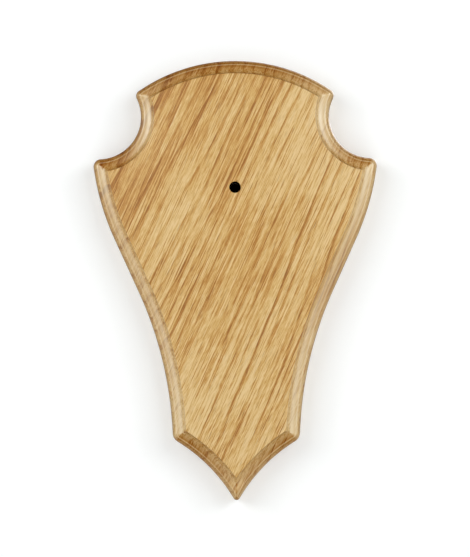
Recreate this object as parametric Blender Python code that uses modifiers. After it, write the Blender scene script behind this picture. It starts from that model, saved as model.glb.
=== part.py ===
"""Antler mounting plaque: a shield-shaped board of solid oak with a moulded edge.

Metres, +Z up. The flat back lies at y = 0 and faces +Y, towards the wall, and the front faces -Y.
The origin is the middle of the back: x = 0 is the board's axis and z = 0 is half its height.

The outline is set out as a draughtsman does it. Each corner is a small circle, and the crest, the scoops,
the flanks and the hollows above the point are arcs that run tangent from one corner circle to the next.
The moulding follows the outline at a series of insets: a convex arc loses the inset from its radius, a
hollow arc gains it, and a corner turns sharp where the inset is larger than its rounding. Its sections
differ in their corners, so the moulded edge is a loft between them.
"""
import math

import bmesh
import bpy
from mathutils import Matrix, Vector

MM = 0.001

# Board
BOARD_HEIGHT = 200.0 * MM
BOARD_WIDTH = 129.2 * MM
BOARD_THICKNESS = 16.0 * MM

# Crest: the arc along the top, and the corners at its ends
CREST_RADIUS = 77.6 * MM
CREST_WIDTH = 90.1 * MM
CREST_CORNER_RADIUS = 2.7 * MM

# Shoulders: the scoop between crest and shoulder tip, and how far the tip's widest place is below the top
SCOOP_RADIUS = 19.3 * MM
SHOULDER_DROP = 48.1 * MM
SHOULDER_CORNER_RADIUS = 3.5 * MM

# Flanks: an outward bow, a straight middle and an inward bow, read off the line from shoulder to foot
FLANK_BEND_SHARE = 0.367
FLANK_BEND_OUTSET = 2.1 * MM
FLANK_SWING = math.radians(7.6)
FLANK_STRAIGHT = 26.3 * MM

# Foot corners, the hollows between them and the point
FOOT_WIDTH = 57.9 * MM
FOOT_RISE = 30.5 * MM
FOOT_CORNER_RADIUS = 4.5 * MM
HOLLOW_RADIUS = 76.0 * MM
POINT_RADIUS = 1.6 * MM

# Moulding: a steep bead along the edge and a cove within it, which meet in a ridge, and a small rise to the face.
# The cove's width runs from its deepest line to the face, and its lead is the part that climbs to the ridge.
MOULDING_WIDTH = 6.2 * MM
BEAD_HEIGHT = 3.9 * MM
BEAD_SWEEP = math.radians(78.0)
COVE_WIDTH = 3.3 * MM
COVE_HEIGHT = 3.0 * MM
COVE_LEAD = math.radians(17.0)
FACE_RISE = 0.3 * MM
BACK_CHAMFER = 0.5 * MM

# Screw hole for the skull plate, countersunk from the back
SCREW_HOLE_DIAMETER = 5.0 * MM
SCREW_HOLE_DROP = 58.1 * MM
COUNTERSINK_DIAMETER = 10.0 * MM
COUNTERSINK_ANGLE = math.radians(90.0)

# Keyhole slot in the back, to hang the board on a screw
KEYHOLE_DROP = 38.0 * MM
KEYHOLE_RUN = 12.0 * MM
KEYHOLE_ENTRY_DIAMETER = 9.6 * MM
KEYHOLE_NECK_WIDTH = 4.6 * MM
KEYHOLE_LIP = 2.6 * MM
KEYHOLE_DEPTH = 8.0 * MM
KEYHOLE_HEAD_PLAY = 0.3 * MM

# Fineness of the facets
FACET_TOLERANCE = 0.025 * MM
CORNER_STEPS = 5
BEAD_STEPS = 5
COVE_STEPS = 8
HOLE_SIDES = 32

# How far a cutter stands clear of the face that it cuts through, and how close points are one point
CUT_MARGIN = 1.0 * MM
MERGE_DISTANCE = 0.001 * MM

OAK_COLOUR = (0.60, 0.40, 0.19, 1.0)
OAK_ROUGHNESS = 0.5

TOP = BOARD_HEIGHT / 2
BOTTOM = -BOARD_HEIGHT / 2


def circle_crossings(centre_a, radius_a, centre_b, radius_b):
    """The two points that lie on both circles."""
    ahead = (centre_b - centre_a).normalized()
    distance = (centre_b - centre_a).length
    along = (distance ** 2 + radius_a ** 2 - radius_b ** 2) / (2 * distance)
    aside = math.sqrt(max(radius_a ** 2 - along ** 2, 0.0))
    left = Vector((-ahead.y, ahead.x))
    middle = centre_a + ahead * along
    return middle + left * aside, middle - left * aside


def sweep_angle(centre, start, end):
    """Signed angle from start to end about the centre, the short way round."""
    angle = math.atan2(end.y - centre.y, end.x - centre.x) - math.atan2(start.y - centre.y, start.x - centre.x)
    return (angle + math.pi) % (2 * math.pi) - math.pi


def points_about(centre, start, end, steps):
    """Points on a circle from start up to, but not with, end."""
    angle = sweep_angle(centre, start, end)
    arm = start - centre
    points = []
    for step in range(steps):
        turn = Matrix.Rotation(angle * step / steps, 2)
        points.append(centre + turn @ arm)
    return points


class Arc:
    """A stretch of the edge on a circle, with a negative radius where the board is hollow."""

    def __init__(self, centre, radius):
        self.centre = centre
        self.radius = radius
        self.steps = 1

    def reach(self, inset):
        """Radius of the parallel curve that lies an inset further into the board."""
        return abs(self.radius - inset)

    def touch(self, corner_centre, inset):
        """Where the parallel curve touches a circle about the corner's centre."""
        return self.centre + (corner_centre - self.centre).normalized() * self.reach(inset)

    def set_steps(self, start, end):
        """Choose the steps that keep the facets within the tolerance of the arc."""
        facet_angle = 2 * math.acos(1 - FACET_TOLERANCE / abs(self.radius))
        self.steps = math.ceil(abs(sweep_angle(self.centre, start, end)) / facet_angle)

    def points(self, start, end):
        return points_about(self.centre, start, end, self.steps)


class Straight:
    """A straight stretch of the edge."""

    def set_steps(self, start, end):
        """A straight needs no steps."""

    def points(self, start, end):
        return [start]


class SmoothJoint:
    """A place where two stretches run into each other without a corner."""

    def __init__(self, place, inward):
        self.place = place
        self.inward = inward

    def ends(self, inset):
        place = self.place + self.inward * inset
        return place, place

    def points(self, start, end):
        return []


class Corner:
    """A corner circle that two arcs touch. Further in than its radius, the arcs meet at a sharp point."""

    def __init__(self, centre, radius, before, after):
        self.centre = centre
        self.radius = radius
        self.before = before
        self.after = after

    def ends(self, inset):
        """Where the arc before the corner ends, and where the arc after it starts."""
        if inset < self.radius:
            return self.before.touch(self.centre, inset), self.after.touch(self.centre, inset)
        crossings = circle_crossings(self.before.centre, self.before.reach(inset),
                                     self.after.centre, self.after.reach(inset))
        meeting = min(crossings, key=lambda place: (place - self.centre).length)
        return meeting, meeting

    def points(self, start, end):
        return points_about(self.centre, start, end, CORNER_STEPS)


def mirrored(place):
    return Vector((-place.x, place.y))


def tangent_bow(corner_centre, corner_radius, place, inward, bulges):
    """The arc that leaves a place square to its inward direction and touches a corner circle."""
    arm = place - corner_centre
    if bulges:
        radius = (corner_radius ** 2 - arm.length_squared) / (2 * (inward.dot(arm) + corner_radius))
        return Arc(place + inward * radius, radius)
    radius = (arm.length_squared - corner_radius ** 2) / (2 * (inward.dot(arm) + corner_radius))
    return Arc(place - inward * radius, -radius)


def crest_parts():
    """The crest arc and the centre of the corner circle at its end."""
    crest = Arc(Vector((0.0, TOP - CREST_RADIUS)), CREST_RADIUS)
    aside = CREST_WIDTH / 2 - CREST_CORNER_RADIUS
    up = math.sqrt((CREST_RADIUS - CREST_CORNER_RADIUS) ** 2 - aside ** 2)
    return crest, crest.centre + Vector((aside, up))


def scoop_between(crest_corner, shoulder_corner):
    """The hollow arc that touches the crest's corner and the shoulder's."""
    centres = circle_crossings(crest_corner, SCOOP_RADIUS + CREST_CORNER_RADIUS,
                               shoulder_corner, SCOOP_RADIUS + SHOULDER_CORNER_RADIUS)
    outside = max(centres, key=lambda centre: centre.x + centre.y)
    return Arc(outside, -SCOOP_RADIUS)


def flank_parts(shoulder_corner, foot_corner):
    """The flank's two bows, and the two joints of its straight middle."""
    down = foot_corner - shoulder_corner
    outward = Vector((-down.y, down.x)).normalized()
    bend = shoulder_corner + down * FLANK_BEND_SHARE + outward * FLANK_BEND_OUTSET
    lean = (Matrix.Rotation(-FLANK_SWING, 2) @ down).normalized()
    inward = Vector((lean.y, -lean.x))
    upper = bend - lean * (FLANK_STRAIGHT / 2)
    lower = bend + lean * (FLANK_STRAIGHT / 2)
    bulge = tangent_bow(shoulder_corner, SHOULDER_CORNER_RADIUS, upper, inward, bulges=True)
    hollow = tangent_bow(foot_corner, FOOT_CORNER_RADIUS, lower, inward, bulges=False)
    return bulge, SmoothJoint(upper, inward), SmoothJoint(lower, inward), hollow


def hollow_between(foot_corner, point_corner):
    """The hollow arc that touches the foot's corner and the circle at the point."""
    centres = circle_crossings(foot_corner, HOLLOW_RADIUS + FOOT_CORNER_RADIUS,
                               point_corner, HOLLOW_RADIUS + POINT_RADIUS)
    outside = max(centres, key=lambda centre: centre.x - centre.y)
    return Arc(outside, -HOLLOW_RADIUS)


def set_out_edge():
    """The right half of the edge from the top of the crest to the point: its stretches and its joints."""
    crest, crest_corner = crest_parts()
    shoulder_corner = Vector((BOARD_WIDTH / 2 - SHOULDER_CORNER_RADIUS, TOP - SHOULDER_DROP))
    foot_corner = Vector((FOOT_WIDTH / 2 - FOOT_CORNER_RADIUS, BOTTOM + FOOT_RISE))
    point_corner = Vector((0.0, BOTTOM + POINT_RADIUS))
    scoop = scoop_between(crest_corner, shoulder_corner)
    bulge, upper_joint, lower_joint, inward_bow = flank_parts(shoulder_corner, foot_corner)
    hollow = hollow_between(foot_corner, point_corner)
    opposite_hollow = Arc(mirrored(hollow.centre), hollow.radius)
    stretches = [crest, scoop, bulge, Straight(), inward_bow, hollow]
    joints = [
        Corner(crest_corner, CREST_CORNER_RADIUS, crest, scoop),
        Corner(shoulder_corner, SHOULDER_CORNER_RADIUS, scoop, bulge),
        upper_joint,
        lower_joint,
        Corner(foot_corner, FOOT_CORNER_RADIUS, inward_bow, hollow),
        Corner(point_corner, POINT_RADIUS, hollow, opposite_hollow),
    ]
    start = Vector((0.0, TOP))
    for stretch, joint in zip(stretches, joints):
        end, restart = joint.ends(0.0)
        stretch.set_steps(start, end)
        start = restart
    return stretches, joints


def half_contour(edge, inset):
    """The right half of the outline, an inset further in, from the axis at the top to the axis below."""
    stretches, joints = edge
    start = Vector((0.0, TOP - inset))
    points = []
    for stretch, joint in zip(stretches, joints):
        end, restart = joint.ends(inset)
        if joint is joints[-1]:
            restart = Vector((0.0, BOTTOM + inset)) if inset < POINT_RADIUS else end
        points += stretch.points(start, end)
        points += joint.points(end, restart)
        start = restart
    points.append(start)
    return points


def edge_section():
    """The moulded edge in section, from the back to the face: pairs of inset and height above the back."""
    section = [(BACK_CHAMFER, 0.0), (0.0, BACK_CHAMFER)]
    cove_floor = MOULDING_WIDTH - COVE_WIDTH
    cove_top = BOARD_THICKNESS - FACE_RISE
    ridge_inset = cove_floor - COVE_WIDTH * math.sin(COVE_LEAD)
    ridge_height = cove_top - COVE_HEIGHT * math.cos(COVE_LEAD)
    bead_reach = ridge_inset / (1 - math.cos(BEAD_SWEEP))
    bead_climb = BEAD_HEIGHT / math.sin(BEAD_SWEEP)
    bead_bottom = ridge_height - BEAD_HEIGHT
    for step in range(BEAD_STEPS):
        angle = BEAD_SWEEP * step / BEAD_STEPS
        section.append((bead_reach * (1 - math.cos(angle)), bead_bottom + bead_climb * math.sin(angle)))
    for step in range(COVE_STEPS + 1):
        angle = -COVE_LEAD + (math.pi / 2 + COVE_LEAD) * step / COVE_STEPS
        section.append((cove_floor + COVE_WIDTH * math.sin(angle), cove_top - COVE_HEIGHT * math.cos(angle)))
    section.append((MOULDING_WIDTH, BOARD_THICKNESS))
    return section


def oak_material():
    material = bpy.data.materials.new("Oak")
    material.use_nodes = True
    shader = material.node_tree.nodes["Principled BSDF"]
    shader.inputs["Base Color"].default_value = OAK_COLOUR
    shader.inputs["Roughness"].default_value = OAK_ROUGHNESS
    material.diffuse_color = OAK_COLOUR
    return material


def new_object(name, shape, collection):
    """Put a finished bmesh into an object of its own."""
    mesh = bpy.data.meshes.new(name)
    shape.to_mesh(mesh)
    shape.free()
    piece = bpy.data.objects.new(name, mesh)
    collection.objects.link(piece)
    return piece


def half_board_shape():
    """The right half of the board, open at the axis: a loft through the section, capped front and back."""
    edge = set_out_edge()
    shape = bmesh.new()
    rings = []
    for inset, height in edge_section():
        ring = [shape.verts.new((point.x, -height, point.y)) for point in half_contour(edge, inset)]
        rings.append(ring)
    for outer, inner in zip(rings, rings[1:]):
        for upper in range(len(outer) - 1):
            lower = upper + 1
            shape.faces.new((outer[upper], inner[upper], inner[lower], outer[lower]))
    shape.faces.new(rings[0])
    shape.faces.new(reversed(rings[-1]))
    bmesh.ops.remove_doubles(shape, verts=shape.verts, dist=MERGE_DISTANCE)
    return shape


def add_mirror(piece):
    mirror = piece.modifiers.new("Mirror", "MIRROR")
    mirror.use_axis = (True, False, False)
    mirror.merge_threshold = MERGE_DISTANCE


def cut(piece, cutter):
    boolean = piece.modifiers.new(cutter.name, "BOOLEAN")
    boolean.operation = "DIFFERENCE"
    boolean.solver = "EXACT"
    boolean.object = cutter


def mark_as_cutter(cutter):
    cutter.hide_render = True
    cutter.display_type = "WIRE"


def cone_cutter(name, height, start, end, start_radius, end_radius, collection):
    """A round cutter along Y, from one depth below the back to another, at a height on the axis."""
    shape = bmesh.new()
    bmesh.ops.create_cone(shape, cap_ends=True, segments=HOLE_SIDES, radius1=start_radius,
                          radius2=end_radius, depth=end - start)
    cutter = new_object(name, shape, collection)
    cutter.location = (0.0, -(start + end) / 2, height)
    cutter.rotation_euler = (math.radians(90.0), 0.0, 0.0)
    mark_as_cutter(cutter)
    return cutter


def slot_cutter(name, low, high, width, start, end, collection):
    """A round-ended slot that runs up the axis, from one depth below the back to another."""
    shape = bmesh.new()
    radius = width / 2
    outline = []
    for middle, first_angle in ((high, 0.0), (low, math.pi)):
        for step in range(HOLE_SIDES // 2 + 1):
            angle = first_angle + math.pi * step / (HOLE_SIDES // 2)
            place = (radius * math.cos(angle), -start, middle + radius * math.sin(angle))
            outline.append(shape.verts.new(place))
    floor = shape.faces.new(outline)
    walls = bmesh.ops.extrude_face_region(shape, geom=[floor])
    moved = [part for part in walls["geom"] if isinstance(part, bmesh.types.BMVert)]
    bmesh.ops.translate(shape, verts=moved, vec=(0.0, start - end, 0.0))
    bmesh.ops.recalc_face_normals(shape, faces=shape.faces)
    cutter = new_object(name, shape, collection)
    mark_as_cutter(cutter)
    return cutter


def cut_screw_hole(board, cutters):
    """The hole through the board, and the countersink for the screw's head in the back."""
    height = TOP - SCREW_HOLE_DROP
    radius = SCREW_HOLE_DIAMETER / 2
    cut(board, cone_cutter("ScrewHole", height, -CUT_MARGIN, BOARD_THICKNESS + CUT_MARGIN,
                           radius, radius, cutters))
    slope = math.tan(COUNTERSINK_ANGLE / 2)
    sink_radius = COUNTERSINK_DIAMETER / 2
    start_radius = sink_radius + CUT_MARGIN * slope
    end_radius = radius / 2
    sink_end = (sink_radius - end_radius) / slope
    cut(board, cone_cutter("Countersink", height, -CUT_MARGIN, sink_end, start_radius, end_radius, cutters))


def cut_keyhole(board, cutters):
    """A slot for the head of a wall screw: a round entry, a narrow neck above it and room behind the lips."""
    entry_height = TOP - KEYHOLE_DROP
    seat_height = entry_height + KEYHOLE_RUN
    radius = KEYHOLE_ENTRY_DIAMETER / 2
    chamber_width = KEYHOLE_ENTRY_DIAMETER - 2 * KEYHOLE_HEAD_PLAY
    neck_end = (KEYHOLE_LIP + KEYHOLE_DEPTH) / 2
    chamber_end = KEYHOLE_DEPTH - KEYHOLE_HEAD_PLAY
    cut(board, cone_cutter("KeyholeEntry", entry_height, -CUT_MARGIN, KEYHOLE_DEPTH, radius, radius, cutters))
    cut(board, slot_cutter("KeyholeNeck", entry_height, seat_height, KEYHOLE_NECK_WIDTH,
                           -CUT_MARGIN, neck_end, cutters))
    cut(board, slot_cutter("KeyholeChamber", entry_height, seat_height, chamber_width,
                           KEYHOLE_LIP, chamber_end, cutters))


def make_board(collection, cutters):
    board = new_object("plaque", half_board_shape(), collection)
    board.data.materials.append(oak_material())
    board.data.shade_smooth()
    board.data.set_sharp_from_angle(angle=math.radians(25.0))
    add_mirror(board)
    cut_screw_hole(board, cutters)
    cut_keyhole(board, cutters)
    return board


def clear_scene():
    for piece in list(bpy.data.objects):
        bpy.data.objects.remove(piece, do_unlink=True)


def new_collection(name):
    collection = bpy.data.collections.new(name)
    bpy.context.scene.collection.children.link(collection)
    return collection


def main():
    clear_scene()
    make_board(new_collection("AntlerMountingPlaque"), new_collection("Cutters"))


main()
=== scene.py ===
import math

import bmesh
import bpy
from mathutils import Matrix, Quaternion, Vector


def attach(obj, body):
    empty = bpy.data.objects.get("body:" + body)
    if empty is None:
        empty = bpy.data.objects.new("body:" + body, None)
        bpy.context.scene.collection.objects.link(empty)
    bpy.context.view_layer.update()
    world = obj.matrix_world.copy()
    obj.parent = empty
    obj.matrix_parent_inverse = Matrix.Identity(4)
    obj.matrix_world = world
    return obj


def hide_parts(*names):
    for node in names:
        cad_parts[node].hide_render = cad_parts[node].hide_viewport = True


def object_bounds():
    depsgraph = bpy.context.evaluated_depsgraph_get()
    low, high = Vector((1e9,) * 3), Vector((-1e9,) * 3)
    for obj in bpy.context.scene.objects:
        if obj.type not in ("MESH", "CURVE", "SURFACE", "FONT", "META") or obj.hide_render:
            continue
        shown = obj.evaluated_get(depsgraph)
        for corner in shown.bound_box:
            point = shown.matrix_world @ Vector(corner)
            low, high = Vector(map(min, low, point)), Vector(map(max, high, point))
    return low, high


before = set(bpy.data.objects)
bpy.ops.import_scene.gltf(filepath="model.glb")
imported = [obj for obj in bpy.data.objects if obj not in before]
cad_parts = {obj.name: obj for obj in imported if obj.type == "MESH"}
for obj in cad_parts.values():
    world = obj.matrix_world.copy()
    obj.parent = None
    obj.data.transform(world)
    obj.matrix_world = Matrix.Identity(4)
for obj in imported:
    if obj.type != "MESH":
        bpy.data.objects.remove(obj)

CAD_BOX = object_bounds()

MM = 0.001
LOW = Vector(CAD_BOX[0])
HIGH = Vector(CAD_BOX[1])

# Board, taken from the frame where the frame has it
TOP = HIGH.z
BOTTOM = LOW.z
BOARD_HALF_WIDTH = (HIGH.x - LOW.x) / 2
BOARD_THICKNESS = HIGH.y - LOW.y

# Crest, scoops and shoulders
CREST_RADIUS = 77.6 * MM
CREST_HALF_WIDTH = 45.05 * MM
CREST_CORNER_RADIUS = 2.7 * MM
SCOOP_RADIUS = 19.3 * MM
SHOULDER_DROP = 48.1 * MM
SHOULDER_CORNER_RADIUS = 3.5 * MM

# Flanks, from shoulder to foot
FLANK_BEND_SHARE = 0.367
FLANK_BEND_OUTSET = 2.1 * MM
FLANK_SWING = math.radians(7.6)
FLANK_STRAIGHT = 26.3 * MM

# Foot corners, the hollows between them and the point
FOOT_HALF_WIDTH = 28.95 * MM
FOOT_RISE = 30.5 * MM
FOOT_CORNER_RADIUS = 4.5 * MM
HOLLOW_RADIUS = 76.0 * MM
POINT_RADIUS = 1.6 * MM

# Moulding in section: a steep bead, a ridge, a cove and a small rise to the face, whose arris is sanded round
MOULDING_WIDTH = 6.2 * MM
BEAD_HEIGHT = 3.9 * MM
BEAD_SWEEP = math.radians(78.0)
COVE_WIDTH = 3.3 * MM
COVE_HEIGHT = 3.0 * MM
COVE_LEAD = math.radians(17.0)
COVE_FLOOR = MOULDING_WIDTH - COVE_WIDTH
COVE_TOP = BOARD_THICKNESS - 0.3 * MM
RIDGE_INSET = COVE_FLOOR - COVE_WIDTH * math.sin(COVE_LEAD)
RIDGE_HEIGHT = COVE_TOP - COVE_HEIGHT * math.cos(COVE_LEAD)
BACK_CHAMFER = 0.5 * MM
ARRIS_RADIUS = 0.22 * MM

# Screw hole, its countersink in the back, the tear-out at its rim and how far painted shade reaches into the
# hole and its rim
SCREW_HOLE_RADIUS = 2.5 * MM
SCREW_HOLE_HEIGHT = TOP - 58.1 * MM
COUNTERSINK_RADIUS = 5.0 * MM
SPLINTER_LEAN = math.radians(19.0)
SPLINTER_WIDTH = 0.55 * MM
SPLINTER_LENGTH = 0.75 * MM
SPLINTER_DEPTH = 0.5 * MM
SHADED_RIM = 0.12 * MM
SHADE_BELOW_FACE = 0.06 * MM
HOLE_SHADE_FADE = (2.9 * MM, 2.6 * MM)

# Keyhole slot in the back
KEYHOLE_HEIGHT = TOP - 38.0 * MM
KEYHOLE_RUN = 12.0 * MM
KEYHOLE_ENTRY_RADIUS = 4.8 * MM
KEYHOLE_NECK_RADIUS = 2.3 * MM
KEYHOLE_CHAMBER_RADIUS = 4.5 * MM
KEYHOLE_LIP = 2.6 * MM
KEYHOLE_DEPTH = 8.0 * MM
KEYHOLE_CHAMBER_DEPTH = 7.7 * MM

# Wall and floor: a glow keeps the wall white where no shadow falls, and it is painted black behind the screw
# hole as the shadow seen through the hole
WALL_GAP = 0.6 * MM
WALL_COLOUR = (0.78, 0.8, 0.8, 1.0)
WALL_GLOW = 0.26
HOLE_SHADOW_RADIUS = 1.2 * COUNTERSINK_RADIUS
FLOOR_DROP = 0.12
FLOOR_COLOUR = (0.85, 0.85, 0.84, 1.0)
STAGE_SIZE = 4.0

# Lights before the board: each is placed to the right and mirrored to the left
PANEL_PLACE = (0.82, -0.92, 0.42)
PANEL_SIZE = (1.2, 0.7)
LEFT_PANEL_POWER = 7.6
RIGHT_PANEL_POWER = 7.4
STRIP_PLACE = (0.98, -0.74, 0.28)
STRIP_SIZE = (0.22, 0.7)
STRIP_POWER = 1.7

# Light behind the wall, for views of the back, and the faint light from all round
BACK_PLACE = (0.4, 1.0, 0.6)
BACK_SIZE = (0.9, 0.9)
BACK_POWER = 8.0
SKY_COLOUR = (0.97, 0.98, 1.0, 1.0)
SKY_STRENGTH = 0.12

# Fineness of the mesh
FACET_TOLERANCE = 0.003 * MM
CORNER_STEPS = 12
BEAD_STEPS = 8
COVE_STEPS = 14
ARRIS_STEPS = 4
HOLE_SIDES = 64
CUT_MARGIN = 1.0 * MM
MERGE_DISTANCE = 0.0005 * MM
SMOOTH_BELOW = math.radians(28.0)

# Camera: the photograph's frame, the board's origin in it, and a view from slightly below and right
PHOTO_WIDTH = 470
PHOTO_HEIGHT = 557
ORIGIN_PIXEL = (235.65, 280.01)
PIXEL_SIZE = 0.4552 * MM
CAMERA_ROLL = math.radians(-0.259)
CAMERA_AZIMUTH = math.radians(0.8)
CAMERA_ELEVATION = math.radians(-2.0)
CAMERA_DISTANCE = 1.5
SENSOR = 36.0
NEAR_CLIP = 0.01


def circle_crossings(centre_a, radius_a, centre_b, radius_b):
    """The two points that lie on both circles."""
    ahead = (centre_b - centre_a).normalized()
    distance = (centre_b - centre_a).length
    along = (distance ** 2 + radius_a ** 2 - radius_b ** 2) / (2 * distance)
    aside = math.sqrt(max(radius_a ** 2 - along ** 2, 0.0))
    left = Vector((-ahead.y, ahead.x))
    middle = centre_a + ahead * along
    return middle + left * aside, middle - left * aside


def sweep_angle(centre, start, end):
    """Signed angle from start to end about the centre, the short way round."""
    start_angle = math.atan2(start.y - centre.y, start.x - centre.x)
    end_angle = math.atan2(end.y - centre.y, end.x - centre.x)
    return (end_angle - start_angle + math.pi) % (2 * math.pi) - math.pi


def points_about(centre, start, end, steps):
    """Points on a circle from start up to, but not with, end."""
    angle = sweep_angle(centre, start, end)
    arm = start - centre
    return [centre + Matrix.Rotation(angle * step / steps, 2) @ arm for step in range(steps)]


class Arc:
    """A stretch of the edge on a circle, with a negative radius where the board is hollow."""

    def __init__(self, centre, radius):
        self.centre = centre
        self.radius = radius
        self.steps = 1

    def reach(self, inset):
        return abs(self.radius - inset)

    def touch(self, corner_centre, inset):
        return self.centre + (corner_centre - self.centre).normalized() * self.reach(inset)

    def set_steps(self, start, end):
        facet_angle = 2 * math.acos(1 - FACET_TOLERANCE / abs(self.radius))
        self.steps = math.ceil(abs(sweep_angle(self.centre, start, end)) / facet_angle)

    def points(self, start, end):
        return points_about(self.centre, start, end, self.steps)


class Straight:
    """A straight stretch of the edge."""

    def set_steps(self, start, end):
        """A straight needs no steps."""

    def points(self, start, end):
        return [start]


class SmoothJoint:
    """A place where two stretches run into each other without a corner."""

    def __init__(self, place, inward):
        self.place = place
        self.inward = inward

    def ends(self, inset):
        place = self.place + self.inward * inset
        return place, place

    def points(self, start, end):
        return []


class Corner:
    """A corner circle that two arcs touch. Further in than its radius, the arcs meet at a sharp point."""

    def __init__(self, centre, radius, before, after):
        self.centre = centre
        self.radius = radius
        self.before = before
        self.after = after

    def ends(self, inset):
        if inset < self.radius:
            return self.before.touch(self.centre, inset), self.after.touch(self.centre, inset)
        crossings = circle_crossings(self.before.centre, self.before.reach(inset),
                                     self.after.centre, self.after.reach(inset))
        meeting = min(crossings, key=lambda place: (place - self.centre).length)
        return meeting, meeting

    def points(self, start, end):
        return points_about(self.centre, start, end, CORNER_STEPS)


def tangent_bow(corner_centre, corner_radius, place, inward, bulges):
    """The arc that leaves a place square to its inward direction and touches a corner circle."""
    arm = place - corner_centre
    if bulges:
        radius = (corner_radius ** 2 - arm.length_squared) / (2 * (inward.dot(arm) + corner_radius))
        return Arc(place + inward * radius, radius)
    radius = (arm.length_squared - corner_radius ** 2) / (2 * (inward.dot(arm) + corner_radius))
    return Arc(place - inward * radius, -radius)


def set_out_edge():
    """The right half of the edge from the top of the crest to the point: its stretches and its joints."""
    crest = Arc(Vector((0.0, TOP - CREST_RADIUS)), CREST_RADIUS)
    crest_aside = CREST_HALF_WIDTH - CREST_CORNER_RADIUS
    crest_up = math.sqrt((CREST_RADIUS - CREST_CORNER_RADIUS) ** 2 - crest_aside ** 2)
    crest_corner = crest.centre + Vector((crest_aside, crest_up))
    shoulder_corner = Vector((BOARD_HALF_WIDTH - SHOULDER_CORNER_RADIUS, TOP - SHOULDER_DROP))
    foot_corner = Vector((FOOT_HALF_WIDTH - FOOT_CORNER_RADIUS, BOTTOM + FOOT_RISE))
    point_corner = Vector((0.0, BOTTOM + POINT_RADIUS))
    scoop_centres = circle_crossings(crest_corner, SCOOP_RADIUS + CREST_CORNER_RADIUS,
                                     shoulder_corner, SCOOP_RADIUS + SHOULDER_CORNER_RADIUS)
    scoop = Arc(max(scoop_centres, key=lambda centre: centre.x + centre.y), -SCOOP_RADIUS)
    down = foot_corner - shoulder_corner
    outward = Vector((-down.y, down.x)).normalized()
    bend = shoulder_corner + down * FLANK_BEND_SHARE + outward * FLANK_BEND_OUTSET
    lean = (Matrix.Rotation(-FLANK_SWING, 2) @ down).normalized()
    inward = Vector((lean.y, -lean.x))
    upper = bend - lean * (FLANK_STRAIGHT / 2)
    lower = bend + lean * (FLANK_STRAIGHT / 2)
    bulge = tangent_bow(shoulder_corner, SHOULDER_CORNER_RADIUS, upper, inward, bulges=True)
    inward_bow = tangent_bow(foot_corner, FOOT_CORNER_RADIUS, lower, inward, bulges=False)
    hollow_centres = circle_crossings(foot_corner, HOLLOW_RADIUS + FOOT_CORNER_RADIUS,
                                      point_corner, HOLLOW_RADIUS + POINT_RADIUS)
    hollow = Arc(max(hollow_centres, key=lambda centre: centre.x - centre.y), -HOLLOW_RADIUS)
    opposite_hollow = Arc(Vector((-hollow.centre.x, hollow.centre.y)), hollow.radius)
    stretches = [crest, scoop, bulge, Straight(), inward_bow, hollow]
    joints = [
        Corner(crest_corner, CREST_CORNER_RADIUS, crest, scoop),
        Corner(shoulder_corner, SHOULDER_CORNER_RADIUS, scoop, bulge),
        SmoothJoint(upper, inward),
        SmoothJoint(lower, inward),
        Corner(foot_corner, FOOT_CORNER_RADIUS, inward_bow, hollow),
        Corner(point_corner, POINT_RADIUS, hollow, opposite_hollow),
    ]
    start = Vector((0.0, TOP))
    for stretch, joint in zip(stretches, joints):
        end, restart = joint.ends(0.0)
        stretch.set_steps(start, end)
        start = restart
    return stretches, joints


def half_contour(edge, inset):
    """The right half of the outline, an inset further in, from the axis at the top to the axis below."""
    stretches, joints = edge
    start = Vector((0.0, TOP - inset))
    points = []
    for stretch, joint in zip(stretches, joints):
        end, restart = joint.ends(inset)
        if joint is joints[-1]:
            restart = Vector((0.0, BOTTOM + inset)) if inset < POINT_RADIUS else end
        points += stretch.points(start, end)
        points += joint.points(end, restart)
        start = restart
    points.append(start)
    return points


def swept(middle, radii, first, last, steps):
    """Section points on an ellipse from one angle to another, counted from the outward direction."""
    points = []
    for step in range(steps + 1):
        angle = first + (last - first) * step / steps
        points.append((middle[0] - radii[0] * math.cos(angle), middle[1] + radii[1] * math.sin(angle)))
    return points


def edge_section():
    """The moulded edge in section, from the back to the face: pairs of inset and height above the back."""
    quarter_turn = math.pi / 2
    bead_radii = (RIDGE_INSET / (1 - math.cos(BEAD_SWEEP)), BEAD_HEIGHT / math.sin(BEAD_SWEEP))
    bead_middle = (bead_radii[0], RIDGE_HEIGHT - BEAD_HEIGHT)
    arris_middle = (MOULDING_WIDTH + ARRIS_RADIUS, BOARD_THICKNESS - ARRIS_RADIUS)
    section = [(BACK_CHAMFER, 0.0), (0.0, BACK_CHAMFER)]
    section += swept(bead_middle, bead_radii, 0.0, BEAD_SWEEP, BEAD_STEPS)[:-1]
    section += swept((COVE_FLOOR, COVE_TOP), (COVE_WIDTH, COVE_HEIGHT), -quarter_turn + COVE_LEAD,
                     -2 * quarter_turn, COVE_STEPS)
    section += swept(arris_middle, (ARRIS_RADIUS, ARRIS_RADIUS), 0.0, quarter_turn, ARRIS_STEPS)
    return section


def new_object(name, shape):
    """Put a finished bmesh into an object of its own."""
    mesh = bpy.data.meshes.new(name)
    shape.to_mesh(mesh)
    shape.free()
    piece = bpy.data.objects.new(name, mesh)
    bpy.context.scene.collection.objects.link(piece)
    return piece


def end_grain_and_shade_shares(ring):
    """How squarely the moulding cuts across the board's length at each point of a ring, from 0 to 1, raised
    along the lower edges as painted shade.
    """
    shares = []
    for place in range(len(ring)):
        tangent = (ring[(place + 1) % len(ring)] - ring[place - 1]).normalized()
        shares.append(tangent.x if tangent.x > 0.0 else min(1.0, -LOWER_EDGE_SHADE * tangent.x))
    return shares


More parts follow.
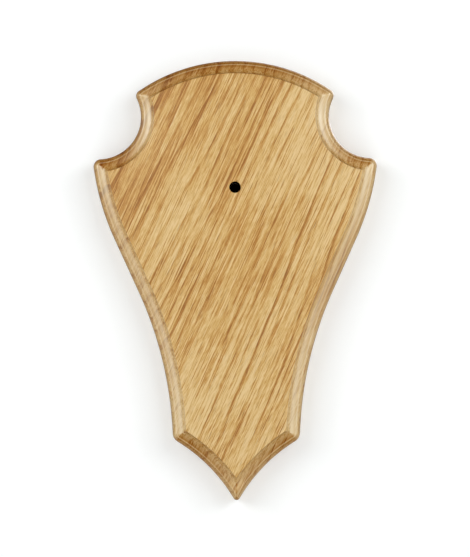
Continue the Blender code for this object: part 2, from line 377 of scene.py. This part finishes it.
def board_shape():
    """The board as a loft through the section, closed front and back, with no holes yet."""
    edge = set_out_edge()
    shape = bmesh.new()
    # End grain share, raised along the lower edges as painted shade
    end_grain_and_shade = shape.verts.layers.float.new("end_grain_and_shade")
    moulded = shape.verts.layers.float.new("moulded")
    insets = shape.verts.layers.float.new("inset")
    rings = []
    shares = None
    for inset, height in edge_section():
        right = half_contour(edge, inset)
        left = [Vector((-point.x, point.y)) for point in reversed(right[1:-1])]
        if shares is None:
            shares = end_grain_and_shade_shares(right + left)
        ring = [shape.verts.new((point.x, -height, point.y)) for point in right + left]
        for vert, share in zip(ring, shares):
            vert[end_grain_and_shade] = share
            vert[moulded] = 0.0 if height == BOARD_THICKNESS else 1.0
            vert[insets] = inset / MM
        rings.append(ring)
    count = len(rings[0])
    for outer, inner in zip(rings, rings[1:]):
        for place in range(count):
            ahead = (place + 1) % count
            shape.faces.new((outer[place], inner[place], inner[ahead], outer[ahead]))
    shape.faces.new(rings[0])
    shape.faces.new(reversed(rings[-1]))
    bmesh.ops.remove_doubles(shape, verts=shape.verts, dist=MERGE_DISTANCE)
    bmesh.ops.dissolve_degenerate(shape, edges=shape.edges, dist=MERGE_DISTANCE)
    return shape


def cone_cutter(name, height, start, end, start_radius, end_radius):
    """A round cutter along Y, from one depth below the back to another, at a height on the axis."""
    shape = bmesh.new()
    bmesh.ops.create_cone(shape, cap_ends=True, segments=HOLE_SIDES, radius1=start_radius,
                          radius2=end_radius, depth=end - start,
                          matrix=Matrix.Translation((0.0, -(start + end) / 2, height))
                          @ Matrix.Rotation(math.radians(90.0), 4, "X"))
    return new_object(name, shape)


def prism_cutter(name, outline, start, end):
    """A straight-sided cutter along Y with a given outline, from one depth below the back to another."""
    shape = bmesh.new()
    first = shape.faces.new([shape.verts.new((place.x, -start, place.y)) for place in outline])
    walls = bmesh.ops.extrude_face_region(shape, geom=[first])
    moved = [part for part in walls["geom"] if isinstance(part, bmesh.types.BMVert)]
    bmesh.ops.translate(shape, verts=moved, vec=(0.0, start - end, 0.0))
    bmesh.ops.recalc_face_normals(shape, faces=shape.faces)
    return new_object(name, shape)


def slot_cutter(name, low, high, radius, start, end):
    """A round-ended slot that runs up the axis, from one depth below the back to another."""
    outline = []
    for middle, first_angle in ((high, 0.0), (low, math.pi)):
        for step in range(HOLE_SIDES // 2 + 1):
            angle = first_angle + math.pi * step / (HOLE_SIDES // 2)
            outline.append(Vector((radius * math.cos(angle), middle + radius * math.sin(angle))))
    return prism_cutter(name, outline, start, end)


def splinter_cutter(name):
    """A thin chip of torn-out wood at the hole's rim, pointed along the grain."""
    grain = Vector((math.sin(SPLINTER_LEAN), math.cos(SPLINTER_LEAN)))
    aside = Vector((grain.y, -grain.x))
    centre = Vector((0.0, SCREW_HOLE_HEIGHT))
    root = centre + grain * (SCREW_HOLE_RADIUS - 2 * SPLINTER_WIDTH)
    tip = centre + grain * (SCREW_HOLE_RADIUS + SPLINTER_LENGTH)
    outline = [root + aside * SPLINTER_WIDTH / 2, root - aside * SPLINTER_WIDTH / 2,
               tip - aside * SPLINTER_WIDTH / 3, tip + aside * SPLINTER_WIDTH / 6]
    return prism_cutter(name, outline, BOARD_THICKNESS + CUT_MARGIN, BOARD_THICKNESS - SPLINTER_DEPTH)


def hole_cutters():
    """The screw hole with its countersink, the keyhole slot and the tear-out at the hole's rim."""
    sink_tip = SCREW_HOLE_RADIUS / 2
    sink_end = COUNTERSINK_RADIUS - sink_tip
    seat = KEYHOLE_HEIGHT + KEYHOLE_RUN
    neck_end = (KEYHOLE_LIP + KEYHOLE_DEPTH) / 2
    return [
        cone_cutter("hole", SCREW_HOLE_HEIGHT, -CUT_MARGIN, BOARD_THICKNESS + CUT_MARGIN,
                    SCREW_HOLE_RADIUS, SCREW_HOLE_RADIUS),
        cone_cutter("countersink", SCREW_HOLE_HEIGHT, -CUT_MARGIN, sink_end,
                    COUNTERSINK_RADIUS + CUT_MARGIN, sink_tip),
        cone_cutter("entry", KEYHOLE_HEIGHT, -CUT_MARGIN, KEYHOLE_DEPTH,
                    KEYHOLE_ENTRY_RADIUS, KEYHOLE_ENTRY_RADIUS),
        slot_cutter("neck", KEYHOLE_HEIGHT, seat, KEYHOLE_NECK_RADIUS, -CUT_MARGIN, neck_end),
        slot_cutter("chamber", KEYHOLE_HEIGHT, seat, KEYHOLE_CHAMBER_RADIUS,
                    KEYHOLE_LIP, KEYHOLE_CHAMBER_DEPTH),
        splinter_cutter("splinter"),
    ]


def apply_modifiers(piece):
    """Replace the piece's mesh with what its modifiers make of it."""
    view = bpy.context.evaluated_depsgraph_get()
    finished = bpy.data.meshes.new_from_object(piece.evaluated_get(view))
    piece.modifiers.clear()
    piece.data = finished


def make_board():
    """The finished board: the moulded loft with its holes cut out."""
    board = new_object("oak_board", board_shape())
    cutters = hole_cutters()
    for cutter in cutters:
        boolean = board.modifiers.new(cutter.name, "BOOLEAN")
        boolean.operation = "DIFFERENCE"
        boolean.solver = "EXACT"
        boolean.object = cutter
    apply_modifiers(board)
    for cutter in cutters:
        bpy.data.objects.remove(cutter, do_unlink=True)
    board.data.shade_smooth()
    board.data.set_sharp_from_angle(angle=SMOOTH_BELOW)
    return board


# Grain, in millimetres: its lean from the axis, how the rings lie under the face and how wide they are
GRAIN_LEAN = math.radians(24.5)
GRAIN_FAN = 1 / 760
GRAIN_DIRECTION = (math.sin(GRAIN_LEAN), 0.0, math.cos(GRAIN_LEAN))
RING_TILT = math.radians(38.0)
RING_WIDTH = 3.4
RING_NARROWING = 0.0008
RING_SWAYS = ((40, 210, 14.0), (11, 80, 3.6), (2.6, 26, 0.7))

# Fibres: the width and length of streaks along the grain, and how much darker they make the wood
FIBRES = ((1.1, 34, 0.5), (0.5, 22, 0.95), (0.3, 7, 0.8), (0.34, 2.4, 0.6), (28, 70, 0.8))
FINE_FIBRE = (0.24, 8)
LINE_STREAK = (0.75, 45)
THIN_LINE_STREAK = (0.45, 20)
BREAK_STREAK = (4, 40)
RAY_FLECK = (0.6, 4.2)
RAY_LEAN = math.radians(-8.0)
PORE_SIZE = (0.8, 3.2, 9)
DARK_PATCH = ((-21.0, 0.0, 58.0), (16.0, 60.0, 46.0))
PALE_PATCH = ((25.0, 0.0, 42.0), (17.0, 60.0, 44.0))

# Ring tone across a ring: a share of its width and how much early wood there is
EARLY_WOOD = ((0.0, 0.6), (0.03, 1.0), (0.12, 0.9), (0.24, 0.4), (0.5, 0.08), (0.95, 0.0), (1.0, 0.6))

# Tones along the moulding's section: millimetres in from the edge, within a span, and a strength: a painted
# sheen on side grain, the darkness of end grain with painted shade added, and a painted highlight on the
# ridge
SECTION_SPAN = 8.0
SIDE_GRAIN_SHEEN = ((0.0, 0.36), (0.8, 0.2), (1.5, 0.28), (1.95, 0.9), (2.5, 0.48), (3.7, 0.97),
                   (4.4, 0.84), (5.3, 0.2))
END_GRAIN_DARK_AND_SHADE = ((0.0, 0.42), (0.8, 0.5), (1.5, 0.98), (1.95, 0.6), (2.5, 1.0), (3.4, 0.7),
                  (4.2, 0.55), (5.0, 0.44))
RIDGE_HIGHLIGHT = ((1.6, 0.0), (1.95, 0.3), (2.3, 0.0))

# The painted sheen on side grain fades from one height to a lower one, as painted light that is weaker lower
# down, and painted shade darkens the bead down from the ridge
SHEEN_FADE = (-10 * MM, -70 * MM)
SHEEN_LEFT_BELOW = 0.68
BEAD_SHADE_REACH = 1.3 * MM
BEAD_SHADE = 0.22

# Painted shade: end grain counts for more along the lower edges, which face away from the light; and end
# grain sets in sharply
LOWER_EDGE_SHADE = 1.25
END_GRAIN_SHARPNESS = 2.4

# Colours as seen on a screen, from the palest wood to the darkest, and what is laid over them: pores, a
# painted sheen, painted shade, a painted highlight on the ridge and the painted shade inside the screw hole
OAK_TONES = ((0.0, "E2C48C"), (0.3, "D1A963"), (0.62, "B98236"), (1.0, "945B16"))
PORE_COLOUR = "85521A"
SHEEN_COLOUR = "F3E2BE"
SHADE_COLOUR = "BE9F72"
RIDGE_HIGHLIGHT_COLOUR = "D6CBA6"
HOLE_SHADE_COLOUR = "0C0704"

# Satin finish, rougher where the wood is darker, and the relief of pores and fibres under it
FINISH_ROUGHNESS = (0.36, 0.5)
FINISH_SHINE = 0.5
COAT_SHARE = 0.45
COAT_ROUGHNESS = 0.26
BUMP_STRENGTH = 0.4
BUMP_HEIGHT = 0.1 * MM


class Recipe:
    """Adds nodes to a material and links them, so that a recipe reads as formulas."""

    def __init__(self, name):
        self.material = bpy.data.materials.new(name)
        self.material.use_nodes = True
        self.tree = self.material.node_tree
        self.shader = self.tree.nodes["Principled BSDF"]

    def feed(self, socket, value):
        if isinstance(value, bpy.types.NodeSocket):
            self.tree.links.new(value, socket)
        else:
            socket.default_value = value

    def math(self, operation, first, second=0.0, third=0.0, clamp=False):
        node = self.tree.nodes.new("ShaderNodeMath")
        node.operation = operation
        node.use_clamp = clamp
        for socket, value in zip(node.inputs, (first, second, third)):
            self.feed(socket, value)
        return node.outputs[0]

    def vector(self, operation, first, second=(0.0, 0.0, 0.0)):
        node = self.tree.nodes.new("ShaderNodeVectorMath")
        node.operation = operation
        self.feed(node.inputs[0], first)
        self.feed(node.inputs[1], second)
        return node.outputs["Value"] if operation in ("LENGTH", "DOT_PRODUCT") else node.outputs["Vector"]

    def place(self):
        """Where a point lies in the board's own frame, in metres."""
        return self.tree.nodes.new("ShaderNodeTexCoord").outputs["Object"]

    def parts(self, vector):
        """The X, Y and Z of a vector."""
        node = self.tree.nodes.new("ShaderNodeSeparateXYZ")
        self.feed(node.inputs[0], vector)
        return node.outputs[:]

    def turned(self, source, angle):
        """A vector turned about Y."""
        node = self.tree.nodes.new("ShaderNodeMapping")
        self.feed(node.inputs["Vector"], source)
        node.inputs["Rotation"].default_value = (0.0, angle, 0.0)
        return node.outputs["Vector"]

    def attribute(self, name):
        node = self.tree.nodes.new("ShaderNodeAttribute")
        node.attribute_name = name
        return node.outputs["Fac"]

    def streaks(self, grain, width, length):
        """Noise about zero that is drawn out along the grain, with both sizes in millimetres."""
        node = self.tree.nodes.new("ShaderNodeTexNoise")
        stretched = self.vector("MULTIPLY", grain, (1 / width, 1 / width, 1 / length))
        self.feed(node.inputs["Vector"], stretched)
        node.inputs["Scale"].default_value = 1.0
        return self.math("SUBTRACT", node.outputs["Fac"], 0.5)

    def cells(self, place):
        """How far a place is from the middle of its cell."""
        node = self.tree.nodes.new("ShaderNodeTexVoronoi")
        self.feed(node.inputs["Vector"], place)
        node.inputs["Scale"].default_value = 1.0
        return node.outputs["Distance"]

    def patch(self, place, middle, size):
        """One at a middle, falling to nothing at the edge of an ellipse of the given half sizes."""
        away = self.vector("SUBTRACT", place, middle)
        away = self.vector("MULTIPLY", away, [1 / length for length in size])
        return self.rerange(self.vector("LENGTH", away), 0.0, 1.0, 1.0, 0.0)

    def random_of(self, number):
        node = self.tree.nodes.new("ShaderNodeTexWhiteNoise")
        node.noise_dimensions = "1D"
        self.feed(node.inputs["W"], number)
        return node.outputs["Value"]

    def rerange(self, value, from_low, from_high, to_low=0.0, to_high=1.0):
        node = self.tree.nodes.new("ShaderNodeMapRange")
        node.clamp = True
        for socket, number in zip(node.inputs, (value, from_low, from_high, to_low, to_high)):
            self.feed(socket, number)
        return node.outputs["Result"]

    def ramp(self, value, stops):
        node = self.tree.nodes.new("ShaderNodeValToRGB")
        self.feed(node.inputs["Fac"], value)
        points = node.color_ramp.elements
        while len(points) < len(stops):
            points.new(0.5)
        for point, (position, colour) in zip(points, stops):
            point.position = position
            point.color = colour
        return node.outputs["Color"]

    def grey_ramp(self, value, stops, span=1.0):
        """A ramp in greys from pairs of a place and a strength, for a value given as a share of the span."""
        return self.ramp(value, [(place / span, grey(strength)) for place, strength in stops])

    def mix(self, share, first, second, blend="MIX"):
        node = self.tree.nodes.new("ShaderNodeMix")
        node.data_type = "RGBA"
        node.blend_type = blend
        self.feed(node.inputs["Factor"], share)
        self.feed(node.inputs[6], first)
        self.feed(node.inputs[7], second)
        return node.outputs[2]

    def near_axis(self, height, radius):
        """One within a radius of a line along Y at a height on the board's axis, and nothing outside it."""
        away = self.vector("SUBTRACT", self.place(), (0.0, 0.0, height))
        aside = self.vector("MULTIPLY", away, (1.0, 0.0, 1.0))
        return self.math("LESS_THAN", self.vector("LENGTH", aside), radius)


def from_hex(text):
    """A linear colour from a screen colour."""
    parts = [int(text[place:place + 2], 16) / 255 for place in (0, 2, 4)]
    linear = [((part + 0.055) / 1.055) ** 2.4 if part > 0.04045 else part / 12.92 for part in parts]
    return (*linear, 1.0)


def grey(value):
    """A linear grey."""
    return (value, value, value, 1.0)


def annual_rings(oak, across, depth, along, grain):
    """Where a place lies within its ring, from 0 to 1, and a random number that all of the ring shares."""
    fanned = oak.math("MULTIPLY", across, oak.math("MULTIPLY_ADD", along, GRAIN_FAN, 1.0))
    place = oak.math("MULTIPLY", fanned, math.cos(RING_TILT))
    place = oak.math("MULTIPLY_ADD", depth, math.sin(RING_TILT), place)
    for width, length, sway in RING_SWAYS:
        place = oak.math("MULTIPLY_ADD", oak.streaks(grain, width, length), sway, place)
    ring = oak.math("MULTIPLY", place, oak.math("MULTIPLY_ADD", place, RING_NARROWING, 1 / RING_WIDTH))
    return oak.math("FRACT", ring), oak.random_of(oak.math("FLOOR", ring))


def oak_tone(oak, grain):
    """How dark the wood is, and where its pores lie."""
    across, depth, along = oak.parts(grain)
    phase, ring_random = annual_rings(oak, across, depth, along, grain)
    early = oak.grey_ramp(phase, EARLY_WOOD)
    broken = oak.rerange(oak.streaks(grain, *BREAK_STREAK), -0.2, 0.1, 0.2, 1.0)
    early = oak.math("MULTIPLY", early, oak.rerange(ring_random, 0.0, 1.0, 0.35, 1.0))
    early = oak.math("MULTIPLY", early, broken)

    pore_place = oak.vector("MULTIPLY", grain, [1 / length for length in PORE_SIZE])
    pores = oak.rerange(oak.cells(pore_place), 0.14, 0.3, 1.0, 0.0)
    pores = oak.math("MULTIPLY", pores, oak.rerange(early, 0.05, 0.5, 0.3, 1.0))
    lines = oak.rerange(oak.streaks(grain, *LINE_STREAK), 0.06, 0.14)
    thin_lines = oak.rerange(oak.streaks(grain, *THIN_LINE_STREAK), 0.06, 0.13)
    more_below = oak.rerange(along, 10.0, -60.0, 0.5, 1.0)

    tone = oak.math("MULTIPLY_ADD", early, 0.68, 0.14)
    tone = oak.math("MULTIPLY_ADD", lines, 0.32, tone)
    tone = oak.math("MULTIPLY_ADD", thin_lines, 0.28, tone)
    tone = oak.math("MULTIPLY_ADD", oak.patch(grain, *DARK_PATCH), 0.2, tone)
    tone = oak.math("MULTIPLY_ADD", oak.patch(grain, *PALE_PATCH), -0.2, tone)
    for width, length, strength in FIBRES:
        tone = oak.math("MULTIPLY_ADD", oak.streaks(grain, width, length), strength, tone)
    flecks = oak.math("MULTIPLY", oak.streaks(oak.turned(grain, RAY_LEAN), *RAY_FLECK), more_below)
    tone = oak.math("MULTIPLY_ADD", flecks, 0.9, tone)
    tone = oak.math("ADD", tone, oak.rerange(across, -60.0, 60.0, 0.1, -0.08))
    return tone, pores


def oak_material():
    """Rift-sawn oak: rings, pore streaks, fibres, ray flecks, darker end grain and a satin finish, with
    painted sheen, painted shade and a painted ridge highlight on the moulding and painted shade in the screw
    hole.
    """
    oak = Recipe("Oak")
    place = oak.place()
    millimetres = oak.vector("MULTIPLY", place, (1 / MM, 1 / MM, 1 / MM))
    grain = oak.turned(millimetres, -GRAIN_LEAN)
    tone, pores = oak_tone(oak, grain)
    colour = oak.ramp(tone, [(position, from_hex(shade)) for position, shade in OAK_TONES])
    colour = oak.mix(oak.math("MULTIPLY", pores, 0.68), colour, from_hex(PORE_COLOUR))

    normal = oak.tree.nodes.new("ShaderNodeNewGeometry").outputs["Normal"]
    off_the_back = oak.math("LESS_THAN", oak.vector("DOT_PRODUCT", normal, (0.0, 1.0, 0.0)), 0.9)
    moulded = oak.math("MULTIPLY", oak.attribute("moulded"), off_the_back)
    # End grain share from the mesh, which carries painted shade on the lower edges
    end_grain_and_shade = oak.math("MULTIPLY", moulded, oak.attribute("end_grain_and_shade"))
    side_grain = oak.math("SUBTRACT", moulded, end_grain_and_shade)
    steep = oak.math("ABSOLUTE", oak.vector("DOT_PRODUCT", normal, GRAIN_DIRECTION))
    cut_across_and_shade = oak.math("POWER", end_grain_and_shade, END_GRAIN_SHARPNESS)
    # Painted sheen on side grain, darker end grain with painted shade, and a painted highlight on the ridge
    sheen, dark_and_shade, ridge_highlight = along_section(oak)
    depth, height = oak.parts(place)[1:]
    # Painted sheen, weaker on the lower part where less light falls
    sheen = oak.math("MULTIPLY", sheen, oak.rerange(height, *SHEEN_FADE, 1.0, SHEEN_LEFT_BELOW))
    bead = oak.rerange(depth, -RIDGE_HEIGHT, -RIDGE_HEIGHT + BEAD_SHADE_REACH, 0.0, BEAD_SHADE)
    # Darker end grain with painted shade, plus painted shade on the bead and on faces turned along the grain
    shade = oak.math("MULTIPLY_ADD", cut_across_and_shade, dark_and_shade, bead)
    shade = oak.math("MULTIPLY_ADD", steep, 0.1, shade, clamp=True)
    # Painted sheen laid over the side grain of the moulding
    colour = oak.mix(oak.math("MULTIPLY", side_grain, sheen), colour, from_hex(SHEEN_COLOUR))
    colour = oak.mix(shade, colour, from_hex(SHADE_COLOUR), blend="MULTIPLY")
    # Painted highlight along the ridge
    colour = oak.mix(oak.math("MULTIPLY", end_grain_and_shade, ridge_highlight), colour, from_hex(RIDGE_HIGHLIGHT_COLOUR))
    # Painted shade inside the screw hole and its tear-out, nearly black
    hole_shade = painted_hole_shade(oak)
    colour = oak.mix(hole_shade, colour, from_hex(HOLE_SHADE_COLOUR))
    polish = oak.math("SUBTRACT", 1.0, oak.math("MAXIMUM", hole_shade, oak.math("MULTIPLY", cut_across_and_shade, 0.8)))

    oak.feed(oak.shader.inputs["Base Color"], colour)
    oak.feed(oak.shader.inputs["Roughness"], oak.rerange(tone, 0.0, 1.0, *FINISH_ROUGHNESS))
    oak.feed(oak.shader.inputs["Specular IOR Level"], oak.math("MULTIPLY", polish, FINISH_SHINE))
    oak.feed(oak.shader.inputs["Coat Weight"], oak.math("MULTIPLY", polish, COAT_SHARE))
    oak.shader.inputs["Coat Roughness"].default_value = COAT_ROUGHNESS
    bump = oak.tree.nodes.new("ShaderNodeBump")
    bump.inputs["Strength"].default_value = BUMP_STRENGTH
    bump.inputs["Distance"].default_value = BUMP_HEIGHT
    relief = oak.math("MULTIPLY_ADD", pores, -1.0, oak.streaks(grain, *FINE_FIBRE))
    oak.feed(bump.inputs["Height"], relief)
    oak.feed(oak.shader.inputs["Normal"], bump.outputs["Normal"])
    return oak.material


def along_section(oak):
    """The painted sheen on side grain, the darkness of end grain with painted shade, and the painted
    highlight on the ridge, from the outer edge inwards.
    """
    inset = oak.math("DIVIDE", oak.attribute("inset"), SECTION_SPAN)
    tones = (SIDE_GRAIN_SHEEN, END_GRAIN_DARK_AND_SHADE, RIDGE_HIGHLIGHT)
    return [oak.grey_ramp(inset, stops, SECTION_SPAN) for stops in tones]


def painted_hole_shade(oak):
    """Painted shade: the front part of the screw hole's wall and the tear-out at its rim, painted nearly
    black.
    """
    depth = oak.parts(oak.place())[1]
    below_face = oak.math("GREATER_THAN", depth, -BOARD_THICKNESS + SHADE_BELOW_FACE)
    before_sink = oak.rerange(depth, -HOLE_SHADE_FADE[0], -HOLE_SHADE_FADE[1], 1.0, 0.0)
    wall = oak.near_axis(SCREW_HOLE_HEIGHT, 1.5 * SCREW_HOLE_RADIUS)
    rim = oak.near_axis(SCREW_HOLE_HEIGHT, SCREW_HOLE_RADIUS + SHADED_RIM)
    near = oak.math("MAXIMUM", rim, oak.math("MULTIPLY", wall, below_face))
    return oak.math("MULTIPLY", near, before_sink)


def make_plane(name, middle, turn):
    """A square of the stage's size."""
    shape = bmesh.new()
    bmesh.ops.create_grid(shape, x_segments=1, y_segments=1, size=STAGE_SIZE / 2,
                          matrix=Matrix.Translation(middle) @ turn)
    return new_object(name, shape)


def make_wall():
    """A pale wall just behind the board, seen only from its front and painted black behind the screw hole as
    the shadow seen through it.
    """
    wall = make_plane("wall", (0.0, WALL_GAP, 0.0), Matrix.Rotation(math.radians(90.0), 4, "X"))
    paint = Recipe("WallPaint")
    # Painted shadow: black and without glow behind the screw hole
    hole = paint.near_axis(SCREW_HOLE_HEIGHT, HOLE_SHADOW_RADIUS)
    paint.feed(paint.shader.inputs["Base Color"], paint.mix(hole, WALL_COLOUR, grey(0.0)))
    paint.shader.inputs["Roughness"].default_value = 0.9
    paint.shader.inputs["Specular IOR Level"].default_value = 0.0
    paint.shader.inputs["Emission Color"].default_value = grey(1.0)
    glow = paint.math("MULTIPLY_ADD", hole, -WALL_GLOW, WALL_GLOW)
    paint.feed(paint.shader.inputs["Emission Strength"], glow)
    from_behind = paint.tree.nodes.new("ShaderNodeNewGeometry").outputs["Backfacing"]
    clear = paint.tree.nodes.new("ShaderNodeBsdfTransparent")
    either = paint.tree.nodes.new("ShaderNodeMixShader")
    paint.feed(either.inputs[0], from_behind)
    paint.feed(either.inputs[1], paint.shader.outputs[0])
    paint.feed(either.inputs[2], clear.outputs[0])
    paint.feed(paint.tree.nodes["Material Output"].inputs["Surface"], either.outputs[0])
    wall.data.materials.append(paint.material)
    wall.visible_shadow = False
    wall.visible_diffuse = False
    wall.visible_glossy = False
    wall.visible_transmission = False


def make_floor():
    """A pale floor some way below the board."""
    floor = make_plane("floor", (0.0, 0.0, BOTTOM - FLOOR_DROP), Matrix.Identity(4))
    paint = Recipe("FloorPaint")
    paint.shader.inputs["Base Color"].default_value = FLOOR_COLOUR
    paint.shader.inputs["Roughness"].default_value = 0.8
    floor.data.materials.append(paint.material)


def make_camera():
    """The photograph's view, framed by the place of the board's origin in the picture."""
    camera = bpy.data.objects.new("camera", bpy.data.cameras.new("camera"))
    bpy.context.scene.collection.objects.link(camera)
    camera.data.sensor_width = SENSOR
    camera.data.lens = SENSOR * CAMERA_DISTANCE / (PHOTO_HEIGHT * PIXEL_SIZE)
    camera.data.clip_start = NEAR_CLIP
    towards = Vector((math.sin(CAMERA_AZIMUTH) * math.cos(CAMERA_ELEVATION),
                      -math.cos(CAMERA_AZIMUTH) * math.cos(CAMERA_ELEVATION),
                      math.sin(CAMERA_ELEVATION)))
    turn = (-towards).to_track_quat("-Z", "Y") @ Quaternion((0.0, 0.0, 1.0), CAMERA_ROLL)
    aside = (PHOTO_WIDTH / 2 - ORIGIN_PIXEL[0]) * PIXEL_SIZE
    up = (ORIGIN_PIXEL[1] - PHOTO_HEIGHT / 2) * PIXEL_SIZE
    edge_plane = RIDGE_HEIGHT - BEAD_HEIGHT
    middle = Vector((0.0, -edge_plane, 0.0)) + turn @ Vector((aside, up, 0.0))
    camera.location = middle + towards * CAMERA_DISTANCE
    camera.rotation_euler = turn.to_euler()
    bpy.context.scene.camera = camera


def add_softbox(name, place, size, power):
    """A broad light that faces the board's origin."""
    light = bpy.data.objects.new(name, bpy.data.lights.new(name, "AREA"))
    bpy.context.scene.collection.objects.link(light)
    light.data.shape = "RECTANGLE"
    light.data.size = size[0]
    light.data.size_y = size[1]
    light.data.energy = power
    light.location = place
    light.rotation_euler = (-Vector(place)).to_track_quat("-Z", "Y").to_euler()


def mirrored(place):
    """The same place on the left of the board."""
    return (-place[0], place[1], place[2])


def make_lights():
    """Two panels and two strips before the board with a gap for the camera, and one light behind it."""
    add_softbox("left_panel", mirrored(PANEL_PLACE), PANEL_SIZE, LEFT_PANEL_POWER)
    add_softbox("right_panel", PANEL_PLACE, PANEL_SIZE, RIGHT_PANEL_POWER)
    add_softbox("left_strip", mirrored(STRIP_PLACE), STRIP_SIZE, STRIP_POWER)
    add_softbox("right_strip", STRIP_PLACE, STRIP_SIZE, STRIP_POWER)
    add_softbox("back_softbox", BACK_PLACE, BACK_SIZE, BACK_POWER)


def make_sky():
    """A faint even light from all round, and colours shown as they are."""
    world = bpy.data.worlds.new("studio")
    bpy.context.scene.world = world
    world.use_nodes = True
    background = world.node_tree.nodes["Background"]
    background.inputs["Color"].default_value = SKY_COLOUR
    background.inputs["Strength"].default_value = SKY_STRENGTH
    bpy.context.scene.view_settings.view_transform = "Standard"


def main():
    make_camera()
    make_lights()
    make_sky()
    make_wall()
    make_floor()
    board = make_board()
    board.data.materials.clear()
    board.data.materials.append(oak_material())
    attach(board, "root")
    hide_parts("plaque")


main()
